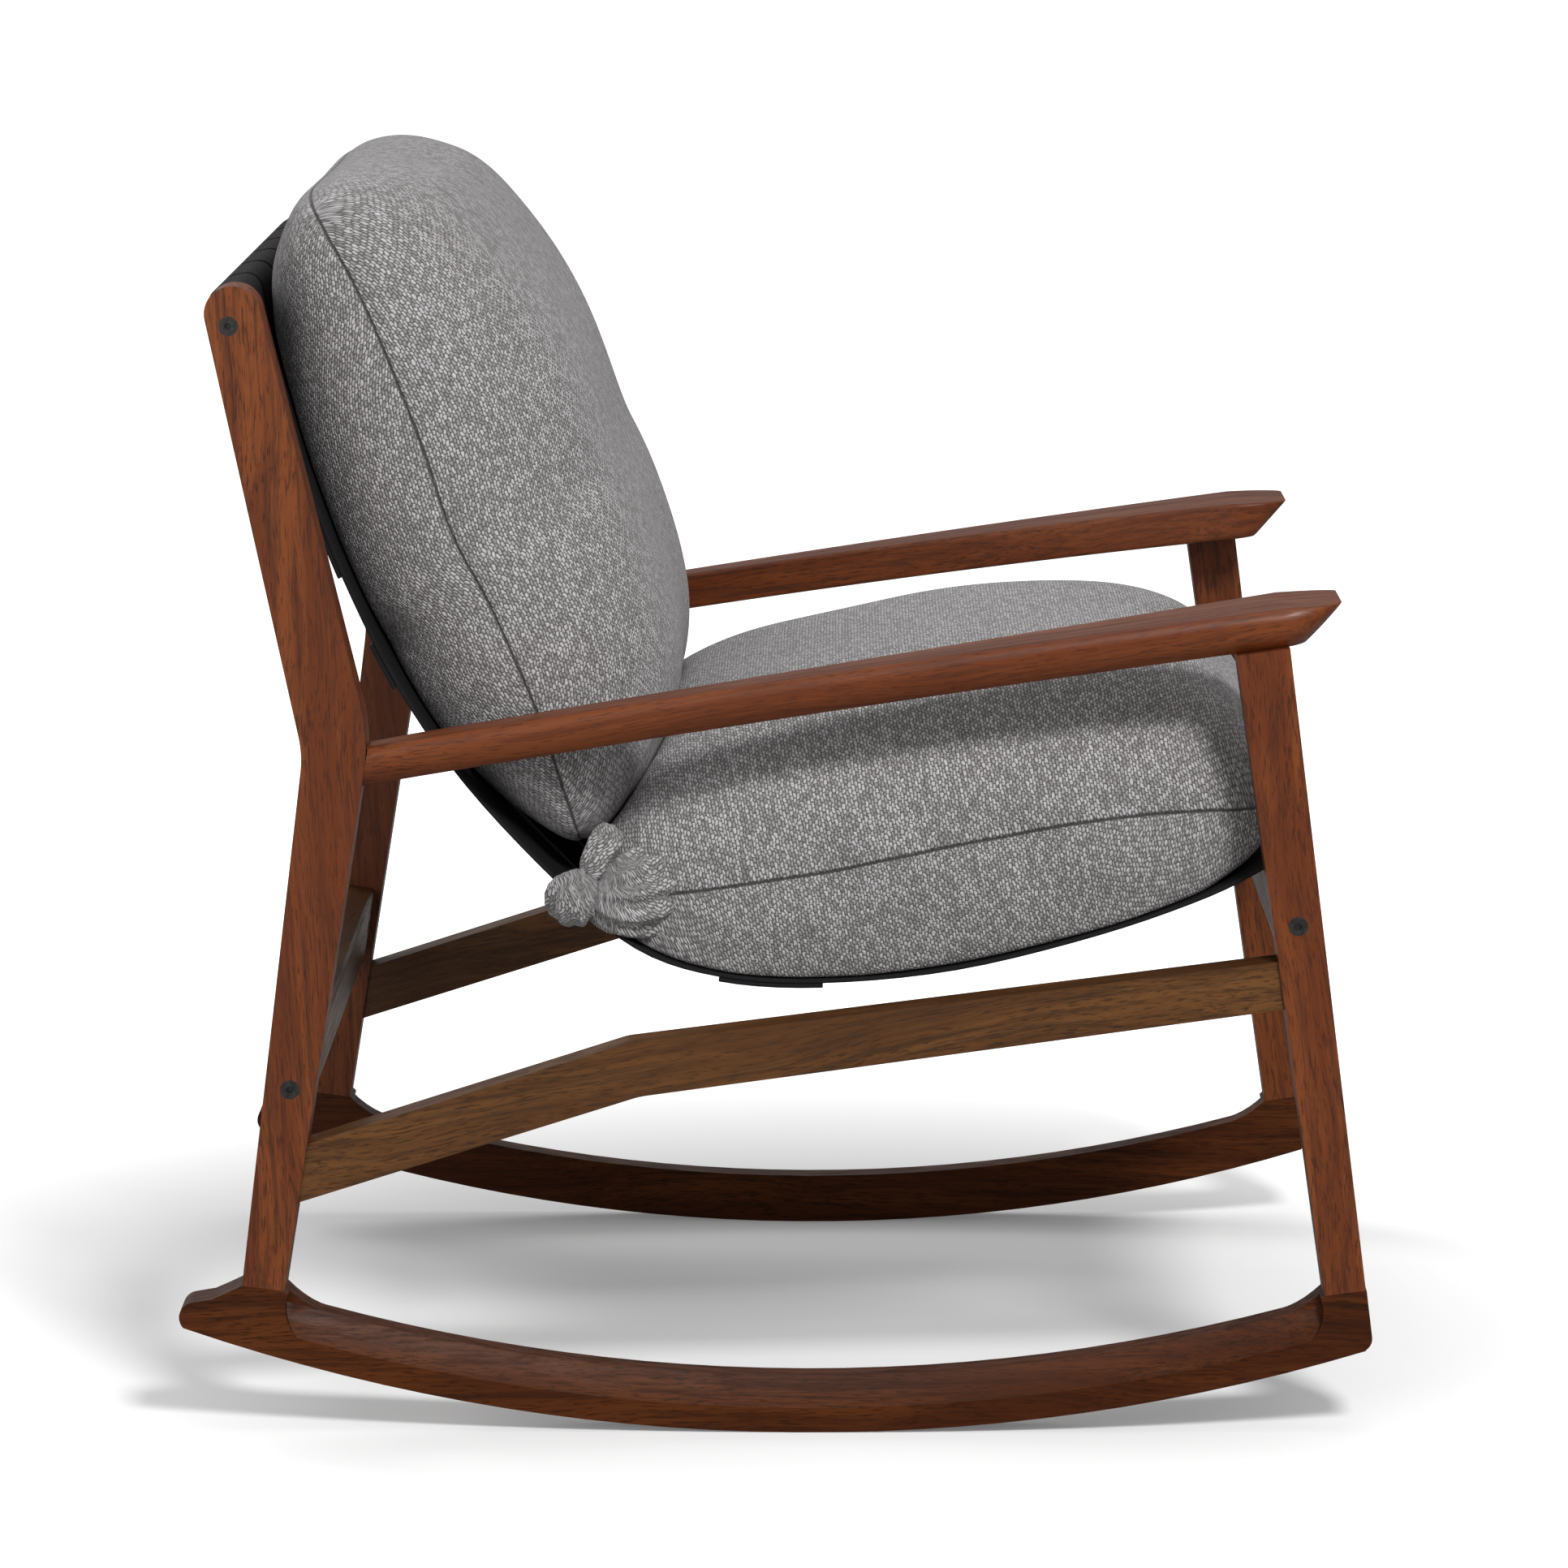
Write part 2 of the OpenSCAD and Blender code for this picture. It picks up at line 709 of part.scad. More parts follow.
// The crowned middle is pushed away from the sling by as much as it is thicker
function crown_shift(stations, s) =
    let (
        first = stations[0][0],
        last = stations[len(stations) - 1][0],
        d = turn(unit(last - first), last.y - first.y > 200 ? -90 : 90)
    )
    [d.x, 0, d.y] * s[2];

// The side seam's line in the side view, carried on past both ends of the cushion
function seam_line(stations) =
    let (p = [for (s = stations) s[0]], m = len(p) - 1, past = cushion_w / 4)
    concat([p[0] + unit(p[0] - p[1]) * past], p, [p[m] + unit(p[m] - p[m - 1]) * past]);

// Half of a cushion's fabric cover: the outer panel is on the left of the seam line (1) or
// on its right (-1)
module cover_half(outer, inner, part) {
    reach = 110;
    seam_shift = 1.3;
    color(tweed) intersection() {
        difference() {
            cushion(outer, 0);
            cushion(inner, cover_t);
        }
        across(frame_w)
            polygon(band(seam_line(outer), reach, part * reach / 2 + seam_shift));
    }
}

// The back cushion's foam is a sheet; the loose fibre round it has no solid of its own
module back_cushion_core() {
    inset = 45;
    sheet = [for (s = back_stations(0)) [s[0], back_core_t / 2, 0]];
    color(wadding) cushion([for (i = [1:len(sheet) - 1]) sheet[i]], inset);
}

module seat_cushion_fill() {
    color(wadding) cushion(seat_stations(cover_t + 0.2), cover_t + 0.2);
}

// A folded tab of cover fabric that ties the two cushions together at a rear corner
module cushion_tie(left) {
    tie_c = [-142, 354];
    tie_w = 26;
    color(tweed) side(left)
        across(tie_w, -cushion_w / 2 + 66)
            translate(tie_c)
                rotate(-40)
                    polygon(rounded([
                        [-5, -22, 4.9], [5, -22, 4.9], [5, 22, 4.9], [-5, 22, 4.9]
                    ]));
}

// ---- Fasteners ----

module frame_bolts() {
    color(steel) both_ends() for (r = rails) right_bolt(r);
}

module barrel_nuts() {
    color(steel) both_ends() for (r = rails)
        difference() {
            nut_rod(r, 0);
            right_bolt_holes();
        }
}

module rail_dowels() {
    color(beech) both_ends() right_rail_dowels();
}

module side_frame_dowels() {
    color(beech) both_ends() side_dowels();
}

rocker(false);  // right_rocker
rocker(true);  // left_rocker
back_post(false);  // right_back_post
back_post(true);  // left_back_post
front_leg(false);  // right_front_leg
front_leg(true);  // left_front_leg
armrest(false);  // right_armrest
armrest(true);  // left_armrest
side_stretcher(false);  // right_side_stretcher
side_stretcher(true);  // left_side_stretcher
cross_rail(rails[0], top_rail_edge_r - 1);  // top_rail
cross_rail(rails[1], rail_edge_r);  // rear_rail
cross_rail(rails[2], rail_edge_r);  // front_rail
strap(0);  // strap_1
strap(1);  // strap_2
strap(2);  // strap_3
strap(3);  // strap_4
strap(4);  // strap_5
strap(5);  // strap_6
cross_strap(2, 4);  // upper_back_cross_strap
cross_strap(18, 20);  // lower_back_cross_strap
cross_strap(40, 45);  // seat_cross_strap
cover_half(back_stations(0), back_stations(cover_t), -1);  // back_cushion_front_panel
cover_half(back_stations(0), back_stations(cover_t), 1);  // back_cushion_rear_panel
back_cushion_core();
cover_half(seat_stations(0), seat_stations(cover_t), 1);  // seat_cushion_top_panel
cover_half(seat_stations(0), seat_stations(cover_t), -1);  // seat_cushion_bottom_panel
seat_cushion_fill();
cushion_tie(false);  // right_cushion_tie
cushion_tie(true);  // left_cushion_tie
frame_bolts();
barrel_nuts();
rail_dowels();
side_frame_dowels();
strap_screws();
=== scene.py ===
"""Lounge rocking chair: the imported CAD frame, dressed with wood, webbing and two stuffed tweed
cushions. Metres, +Z up, +X towards the front of the chair, -Y towards the camera."""

import json
import math

import bmesh
import bpy
import numpy as np
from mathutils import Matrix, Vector
from mathutils.bvhtree import BVHTree
from mathutils.noise import noise

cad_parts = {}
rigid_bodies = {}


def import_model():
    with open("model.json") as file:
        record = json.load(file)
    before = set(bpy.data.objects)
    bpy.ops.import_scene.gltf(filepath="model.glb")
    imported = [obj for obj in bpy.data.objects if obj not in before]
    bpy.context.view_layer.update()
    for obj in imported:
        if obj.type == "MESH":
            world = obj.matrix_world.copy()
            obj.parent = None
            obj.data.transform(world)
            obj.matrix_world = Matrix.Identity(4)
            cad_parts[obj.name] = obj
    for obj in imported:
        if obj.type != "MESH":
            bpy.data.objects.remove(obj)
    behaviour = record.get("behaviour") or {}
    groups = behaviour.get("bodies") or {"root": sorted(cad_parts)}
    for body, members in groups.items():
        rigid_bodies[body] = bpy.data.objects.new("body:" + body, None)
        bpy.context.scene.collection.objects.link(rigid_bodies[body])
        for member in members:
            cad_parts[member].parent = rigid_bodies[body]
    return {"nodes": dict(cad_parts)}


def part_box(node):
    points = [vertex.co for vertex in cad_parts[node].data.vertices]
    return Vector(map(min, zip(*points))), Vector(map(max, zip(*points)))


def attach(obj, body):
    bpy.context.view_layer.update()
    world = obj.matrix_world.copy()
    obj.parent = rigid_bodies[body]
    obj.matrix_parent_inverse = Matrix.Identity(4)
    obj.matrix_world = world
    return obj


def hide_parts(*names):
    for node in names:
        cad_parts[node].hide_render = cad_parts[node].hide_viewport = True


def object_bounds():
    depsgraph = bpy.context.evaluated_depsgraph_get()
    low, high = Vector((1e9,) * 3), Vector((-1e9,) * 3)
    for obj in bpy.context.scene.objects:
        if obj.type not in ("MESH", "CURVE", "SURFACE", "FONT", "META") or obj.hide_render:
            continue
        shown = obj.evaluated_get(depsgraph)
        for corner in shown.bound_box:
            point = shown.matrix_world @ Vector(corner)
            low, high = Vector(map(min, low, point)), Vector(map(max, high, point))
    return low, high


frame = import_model()
NODES = frame["nodes"]
CAD_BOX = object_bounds()
MM = 0.001

# Directions away from the straps, towards the cushions that rest on them
OFF_BACK_STRAPS = (0.92, 0, 0.38)
OFF_SEAT_STRAPS = (0.1, 0, 0.995)
STRAP_REACH = 60 * MM  # how far behind a strap a cushion's point may start
SKIN_GAP = 0.8 * MM  # between a cushion and the straps
CUSHION_GAP = 1.0 * MM  # between the two cushions
SEAM_DEPTH = 1.4 * MM
INFLATE_CAP = 7 * MM  # the furthest that pressure may move a point of a cushion
SEAT_OVERHANG = 4 * MM  # how much wider than its CAD panel's half the seat bulges

# The ties' pieces: a spine of [x, inward, z] points, radii in mm, and the number of folds
TIE_PIECES = {
    "knot": (
        [(-126, 12, 324), (-129, 7, 330), (-128, 3, 337), (-124, 1, 344), (-119, 0, 350),
         (-115, 0, 354)],
        (7, 16, 19, 18, 12, 6), 7,
    ),
    "loop": (
        [(-121, 1, 349), (-117, 2, 354), (-115, 3, 361), (-112, 5, 368), (-108, 9, 375),
         (-103, 15, 383)],
        (4, 8, 9, 9, 11, 8), 6,
    ),
    "corner": (
        [(-121, 3, 343), (-114, 5, 340), (-106, 8, 338), (-95, 14, 338), (-82, 24, 341),
         (-66, 36, 345)],
        (9, 17, 23, 27, 29, 22), 10,
    ),
}
TIE_INSET = 3 * MM  # of the ties' spines from the cushions' half width

RED_WOOD = [
    f"{side}_{part}"
    for side in ("right", "left")
    for part in ("rocker", "back_post", "front_leg", "armrest")
]
BROWN_WOOD = ["right_side_stretcher", "left_side_stretcher", "top_rail", "front_rail", "rear_rail"]
STRAPS = [f"strap_{i}" for i in range(1, 7)]
CROSS_STRAPS = ["upper_back_cross_strap", "lower_back_cross_strap", "seat_cross_strap"]
METAL = ["frame_bolts", "barrel_nuts", "strap_screws"]
DOWELS = ["rail_dowels", "side_frame_dowels"]


# ---- Camera and light ----


def make_camera():
    """A long lens at the near side, pitched down and turned a little to the left."""
    lens, pitch, yaw, distance = 152.8, math.radians(9.46), math.radians(0.4), 4.18
    aim = Vector((0.0055, CAD_BOX[0].y, 0.4197))
    forward = Vector(
        (-math.sin(yaw) * math.cos(pitch), math.cos(yaw) * math.cos(pitch), -math.sin(pitch))
    )
    data = bpy.data.cameras.new("camera")
    data.lens = lens
    data.sensor_width = 36
    cam = bpy.data.objects.new("camera", data)
    cam.location = aim - forward * distance
    cam.rotation_euler = (math.pi / 2 - pitch, 0, yaw)
    bpy.context.scene.collection.objects.link(cam)
    bpy.context.scene.camera = cam


def area_light(name, place, aim, size, watts, colour=(1, 1, 1)):
    data = bpy.data.lights.new(name, "AREA")
    data.shape = "DISK"
    data.size = size
    data.energy = watts
    data.color = colour
    light = bpy.data.objects.new(name, data)
    light.location = place
    light.rotation_euler = (Vector(aim) - Vector(place)).to_track_quat("-Z", "Y").to_euler()
    bpy.context.scene.collection.objects.link(light)


def make_lights():
    aim = (0, 0, 0.4)
    area_light("key", (1.0, -2.7, 2.7), aim, 0.8, 100)
    area_light("fill", (-1.6, -3.2, 1.2), aim, 2.0, 24)
    area_light("top", (0.0, 0.3, 3.4), aim, 2.6, 18)
    area_light("rim", (-2.2, 2.2, 2.2), aim, 1.5, 30)


def make_world():
    """White behind the object, and a soft grey for what the surfaces reflect."""
    world = bpy.data.worlds.new("studio")
    world.use_nodes = True
    tree = world.node_tree
    tree.nodes.clear()
    out = tree.nodes.new("ShaderNodeOutputWorld")
    seen = tree.nodes.new("ShaderNodeBackground")
    seen.inputs["Color"].default_value = (1, 1, 1, 1)
    seen.inputs["Strength"].default_value = 1.0
    lit = tree.nodes.new("ShaderNodeBackground")
    lit.inputs["Color"].default_value = (1, 1, 1, 1)
    lit.inputs["Strength"].default_value = 0.34
    path = tree.nodes.new("ShaderNodeLightPath")
    mix = tree.nodes.new("ShaderNodeMixShader")
    tree.links.new(path.outputs["Is Camera Ray"], mix.inputs["Fac"])
    tree.links.new(lit.outputs[0], mix.inputs[1])
    tree.links.new(seen.outputs[0], mix.inputs[2])
    tree.links.new(mix.outputs[0], out.inputs["Surface"])
    bpy.context.scene.world = world


def make_floor():
    """A pale floor with a painted glow: its emission, seen only by the camera, rises with the
    distance from the chair, so the floor turns to pure white away from it and stays darker around
    the chair as painted shade. To every other ray it is a darker grey.
    """
    half = 30
    mesh = bpy.data.meshes.new("floor")
    mesh.from_pydata(
        [(-half, -half, 0), (half, -half, 0), (half, half, 0), (-half, half, 0)], [], [(0, 1, 2, 3)]
    )
    floor = bpy.data.objects.new("floor", mesh)
    bpy.context.scene.collection.objects.link(floor)
    g = Graph("pale_floor")
    place = g.node("ShaderNodeTexCoord").outputs["Object"]
    away = g.node("ShaderNodeVectorMath", {0: place}, operation="LENGTH").outputs["Value"]
    seen = g.node("ShaderNodeLightPath").outputs["Is Camera Ray"]
    # Painted glow, weak near the chair and strong away from it, which leaves painted shade around
    # the chair
    painted_glow = g.ramp(away, 0.35, 1.15, 0.14, 0.95)
    mesh.materials.append(
        g.finish(
            Base_Color=g.mix(seen, (0.42, 0.42, 0.42, 1), (0.86, 0.86, 0.86, 1)),
            Roughness=0.9,
            Specular_IOR_Level=0.0,
            Emission_Color=(1, 1, 1, 1),
            Emission_Strength=g.math("MULTIPLY", painted_glow, seen),
        )
    )


# ---- Material building ----


class Graph:
    """Short hands for building a material's node tree."""

    def __init__(self, name):
        self.mat = bpy.data.materials.new(name)
        self.mat.use_nodes = True
        self.tree = self.mat.node_tree
        self.bsdf = self.tree.nodes["Principled BSDF"]

    def put(self, socket, value):
        if isinstance(value, bpy.types.NodeSocket):
            self.tree.links.new(value, socket)
        elif value is not None:
            socket.default_value = value

    def node(self, kind, inputs=None, **settings):
        n = self.tree.nodes.new(kind)
        for key, value in settings.items():
            setattr(n, key, value)
        for key, value in (inputs or {}).items():
            self.put(n.inputs[key], value)
        return n

    def math(self, op, a, b=None, c=None, clamp=False):
        n = self.node("ShaderNodeMath", operation=op, use_clamp=clamp)
        for i, v in enumerate((a, b, c)):
            self.put(n.inputs[i], v)
        return n.outputs[0]

    def vector(self, op, a, b=None):
        n = self.node("ShaderNodeVectorMath", operation=op)
        self.put(n.inputs[0], a)
        self.put(n.inputs[1], b)
        return n.outputs["Value"] if op == "DOT_PRODUCT" else n.outputs["Vector"]

    def scaled(self, v, factors):
        return self.vector("MULTIPLY", v, factors)

    def noise(self, v, scale=1.0, detail=3.0, rough=0.5):
        n = self.node(
            "ShaderNodeTexNoise",
            {"Vector": v, "Scale": scale, "Detail": detail, "Roughness": rough},
        )
        return n.outputs["Fac"]

    def ramp(self, fac, low, high, to_low=0.0, to_high=1.0):
        n = self.node("ShaderNodeMapRange", interpolation_type="SMOOTHSTEP")
        for i, v in enumerate((fac, low, high, to_low, to_high)):
            self.put(n.inputs[i], v)
        return n.outputs[0]

    def mix(self, fac, a, b, blend="MIX"):
        n = self.node("ShaderNodeMix", data_type="RGBA", blend_type=blend)
        self.put(n.inputs[0], fac)
        self.put(n.inputs[6], a)
        self.put(n.inputs[7], b)
        return n.outputs[2]

    def bump(self, height, distance, strength=1.0, under=None):
        n = self.node("ShaderNodeBump", {"Height": height, "Distance": distance})
        n.inputs["Strength"].default_value = strength
        self.put(n.inputs["Normal"], under)
        return n.outputs["Normal"]

    def finish(self, **sockets):
        for key, value in sockets.items():
            self.put(self.bsdf.inputs[key.replace("_", " ")], value)
        return self.mat


def rgb(r, g, b):
    """A linear colour from display values of 0 to 255."""
    def lin(c):
        c /= 255
        return c / 12.92 if c <= 0.04045 else ((c + 0.055) / 1.055) ** 2.4

    return (lin(r), lin(g), lin(b), 1.0)


def principal_axes(obj):
    """The long, middle and short directions of a node's shape."""
    co = np.array([v.co for v in obj.data.vertices])
    _, vectors = np.linalg.eigh(np.cov((co - co.mean(0)).T))
    return [Vector(vectors[:, i]) for i in (2, 1, 0)]


def wood(name, axes, dark, mid, light, seed, gloss=0.24):
    """Stained open-pored hardwood whose grain runs along the first of the three axes."""
    g = Graph(name)
    p = g.node("ShaderNodeTexCoord").outputs["Object"]
    local = g.node("ShaderNodeCombineXYZ")
    for i, axis in enumerate(axes):
        g.put(local.inputs[i], g.vector("DOT_PRODUCT", p, axis))
    v = g.vector("ADD", local.outputs[0], (seed * 1.7, seed * 0.9, seed * 0.4))
    # The figure wanders slowly along the board
    drift = g.noise(g.scaled(v, (3, 9, 9)), detail=2)
    bent = g.vector(
        "ADD", v, g.scaled(g.node("ShaderNodeCombineXYZ", {1: drift, 2: drift}).outputs[0],
                           (0, 0.05, 0.05))
    )
    figure = g.noise(g.scaled(bent, (2.2, 46, 46)), detail=5, rough=0.62)
    streak = g.noise(g.scaled(bent, (9, 260, 260)), detail=4, rough=0.6)
    pores = g.noise(g.scaled(bent, (75, 900, 900)), detail=2, rough=0.55)
    patch = g.noise(g.scaled(v, (4, 7, 7)), detail=2)
    base = g.mix(g.ramp(figure, 0.4, 0.62), mid, light)
    base = g.mix(g.ramp(streak, 0.44, 0.66, 0.0, 0.58), base, dark)
    base = g.mix(g.ramp(pores, 0.52, 0.66, 0.0, 0.7), base, dark)
    base = g.mix(g.ramp(patch, 0.35, 0.7, 0.0, 0.45), base, mid)
    rough = g.ramp(streak, 0.3, 0.7, 0.34, 0.5)
    normal = g.bump(g.math("SUBTRACT", g.math("MULTIPLY", streak, 0.5), pores), 0.25 * MM, 0.35)
    return g.finish(
        Base_Color=base,
        Roughness=rough,
        Normal=normal,
        Specular_IOR_Level=gloss,
        Coat_Weight=gloss * 0.12,
        Coat_Roughness=0.25,
    )


def webbing_material():
    """Black elastic webbing: ribs along it, and finer picks across."""
    g = Graph("black_webbing")
    p = g.node("ShaderNodeTexCoord").outputs["Object"]
    xyz = g.node("ShaderNodeSeparateXYZ", {0: p})
    along = g.math("ADD", xyz.outputs[0], g.math("MULTIPLY", xyz.outputs[2], -1.0))
    rib = g.math("SINE", g.math("MULTIPLY", xyz.outputs[1], math.tau / (2.6 * MM)))
    pick = g.math("SINE", g.math("MULTIPLY", along, math.tau / (1.7 * MM)))
    weave = g.math("MULTIPLY", rib, pick)
    fuzz = g.noise(g.scaled(p, (900, 900, 900)), detail=2)
    colour = g.mix(g.ramp(weave, -1.0, 1.0), (0.003, 0.003, 0.0035, 1), (0.016, 0.016, 0.018, 1))
    height = g.math("ADD", g.math("MULTIPLY", rib, 0.5), g.math("MULTIPLY", weave, 0.5))
    height = g.math("ADD", height, fuzz)
    return g.finish(
        Base_Color=colour,
        Roughness=g.ramp(fuzz, 0.3, 0.7, 0.62, 0.85),
        Normal=g.bump(height, 0.3 * MM, 0.6),
        Specular_IOR_Level=0.15,
    )


def steel_material():
    g = Graph("dark_steel")
    p = g.node("ShaderNodeTexCoord").outputs["Object"]
    worn = g.noise(g.scaled(p, (300, 300, 300)), detail=4)
    colour = g.mix(worn, (0.02, 0.018, 0.016, 1), (0.075, 0.07, 0.065, 1))
    return g.finish(
        Base_Color=colour,
        Metallic=0.9,
        Roughness=g.ramp(worn, 0.3, 0.7, 0.32, 0.5),
        Normal=g.bump(worn, 0.1 * MM, 0.3),
    )


def tweed_material(name="grey_tweed"):
    """Chunky tweed: short light dashes in staggered columns over a darker ground. It reads the
    cloth's own metres from the UV map weave, and the seam's from the UV map seam."""
    dash_w, dash_h = 2.1 * MM, 3.8 * MM
    g = Graph(name)
    flat = g.node("ShaderNodeUVMap", uv_map="weave").outputs[0]
    wobble = g.node(
        "ShaderNodeTexNoise", {"Vector": flat, "Scale": 210.0, "Detail": 2.0}
    ).outputs["Color"]
    wobble = g.scaled(g.vector("SUBTRACT", wobble, (0.5, 0.5, 0.5)), (3.4 * MM, 4.6 * MM, 0))
    uv = g.node("ShaderNodeSeparateXYZ", {0: g.vector("ADD", flat, wobble)})
    across = g.math("DIVIDE", uv.outputs[0], dash_w)
    column = g.math("FLOOR", across)
    x = g.math("SUBTRACT", g.math("FRACT", across), 0.5)
    stagger = g.math("MULTIPLY", g.math("MODULO", g.math("ABSOLUTE", column), 2.0), 0.5)
    along = g.math("ADD", g.math("DIVIDE", uv.outputs[1], dash_h), stagger)
    row = g.math("FLOOR", along)
    y = g.math("SUBTRACT", g.math("FRACT", along), 0.5)
    cell = g.node("ShaderNodeCombineXYZ", {0: column, 1: row}).outputs[0]
    shade = g.node("ShaderNodeTexWhiteNoise", {"Vector": cell}).outputs["Value"]
    round_x = g.math("SUBTRACT", 1.0, g.math("POWER", g.math("MULTIPLY", x, 2.0), 2.0))
    round_y = g.math(
        "SUBTRACT", 1.0, g.math("POWER", g.math("ABSOLUTE", g.math("MULTIPLY", y, 2.0)), 3.0)
    )
    dash = g.math("MULTIPLY", round_x, round_y, clamp=True)
    ply = g.noise(g.scaled(flat, (1500, 420, 1)), detail=2)
    melange = g.noise(g.scaled(flat, (60, 60, 1)), detail=3)
    cover = g.ramp(g.math("MULTIPLY", dash, g.ramp(shade, 0.0, 1.0, 0.85, 1.15)), 0.2, 0.75)
    yarn = g.mix(g.ramp(shade, 0.1, 0.9), rgb(144, 141, 141), rgb(190, 187, 188))
    yarn = g.mix(g.ramp(ply, 0.35, 0.75, 0.0, 0.4), yarn, rgb(118, 115, 115))
    ground = g.mix(ply, rgb(70, 67, 67), rgb(108, 105, 105))
    colour = g.mix(cover, ground, yarn)
    colour = g.mix(g.ramp(melange, 0.4, 0.75, 0.0, 0.1), colour, rgb(88, 85, 84))
    # The seam: a sunk line, darkened with painted shade in its crease, with small puckers to both
    # sides of it
    seam = g.node("ShaderNodeSeparateXYZ", {0: g.node("ShaderNodeUVMap", uv_map="seam").outputs[0]})
    line = g.ramp(seam.outputs[1], 0.2 * MM, 1.5 * MM)
    near = g.ramp(seam.outputs[1], 1 * MM, 14 * MM, 1.0, 0.0)
    stitch = g.math("SINE", g.math("MULTIPLY", seam.outputs[0], math.tau / (9 * MM)))
    pucker = g.math("MULTIPLY", g.math("MULTIPLY", stitch, near), line)
    # Painted shade along the seam's crease
    colour = g.mix(g.math("SUBTRACT", 1.0, line), colour, rgb(66, 63, 62))
    soft = g.bump(
        g.math("ADD", line, g.math("MULTIPLY", pucker, 0.25)), 1.6 * MM, 0.8
    )
    height = g.math("ADD", g.math("MULTIPLY", dash, 1.0), g.math("MULTIPLY", ply, 0.5))
    return g.finish(
        Base_Color=colour,
        Roughness=0.9,
        Specular_IOR_Level=0.12,
        Sheen_Weight=0.18,
        Sheen_Roughness=0.5,
        Normal=g.bump(height, 0.7 * MM, 0.7, under=soft),
    )


# ---- CAD nodes ----


def dress(node, material, ease, limit=32):
    """Gives a CAD node its material and eased edges. Its vertices stay as packed."""
    obj = NODES[node]
    mesh = obj.data
    mesh.materials.clear()
    mesh.materials.append(material)
    if "custom_normal" in mesh.attributes:
        mesh.attributes.remove(mesh.attributes["custom_normal"])
    mesh.polygons.foreach_set("use_smooth", [True] * len(mesh.polygons))
    weld = obj.modifiers.new("join_faces", "WELD")
    weld.merge_threshold = 0.01 * MM
    bevel = obj.modifiers.new("eased_edges", "BEVEL")
    bevel.width = ease
    bevel.segments = 3
    bevel.limit_method = "ANGLE"
    bevel.angle_limit = math.radians(limit)
    bevel.use_clamp_overlap = True
    even = obj.modifiers.new("even_shading", "WEIGHTED_NORMAL")
    even.weight = 80


def dress_frame():
    red = [rgb(46, 20, 7), rgb(98, 46, 18), rgb(122, 64, 28)]
    deep = [rgb(28, 12, 4), rgb(68, 32, 12), rgb(90, 47, 19)]
    brown = [rgb(38, 22, 8), rgb(82, 49, 20), rgb(106, 68, 32)]
    for i, node in enumerate(RED_WOOD):
        tones, gloss = (deep, 0.1) if "rocker" in node else (red, 0.24)
        axes = principal_axes(NODES[node])
        dress(node, wood(f"red_wood_{node}", axes, *tones, i, gloss), 1.8 * MM)
    for i, node in enumerate(BROWN_WOOD):
        dress(node, wood(f"brown_wood_{node}", principal_axes(NODES[node]), *brown, i + 20),
              1.6 * MM)
    webbing = webbing_material()
    for node in STRAPS + CROSS_STRAPS:
        dress(node, webbing, 0.6 * MM, limit=50)
    steel = steel_material()
    for node in METAL:
        dress(node, steel, 0.25 * MM)
    beech = [rgb(120, 84, 52), rgb(176, 136, 94), rgb(204, 168, 124)]
    for i, node in enumerate(DOWELS):
        dress(node, wood(f"beech_{node}", [Vector((1, 0, 0)), Vector((0, 1, 0)), Vector((0, 0, 1))],
                         *beech, i + 40), 0.5 * MM)


# ---- Cushions ----


def smooth_path(stations, n):
    """n + 1 rows of [x, z, ...] along a Catmull-Rom curve, even by distance in the side view."""
    p = np.array(stations, float)
    p = np.vstack([2 * p[0] - p[1], p, 2 * p[-1] - p[-2]])
    fine = []
    for i in range(1, len(p) - 2):
        for t in np.linspace(0, 1, 24, endpoint=i == len(p) - 3):
            a, b, c, d = p[i - 1 : i + 3]
            fine.append(0.5 * (2 * b + (c - a) * t + (2 * a - 5 * b + 4 * c - d) * t**2
                               + (3 * b - a - 3 * c + d) * t**3))
    fine = np.array(fine)
    run = np.r_[0, np.cumsum(np.hypot(*np.diff(fine[:, :2], axis=0).T))]
    at = (1 - np.cos(np.linspace(0, np.pi, n + 1))) / 2 * run[-1]
    return np.column_stack([np.interp(at, run, fine[:, k]) for k in range(p.shape[1])])


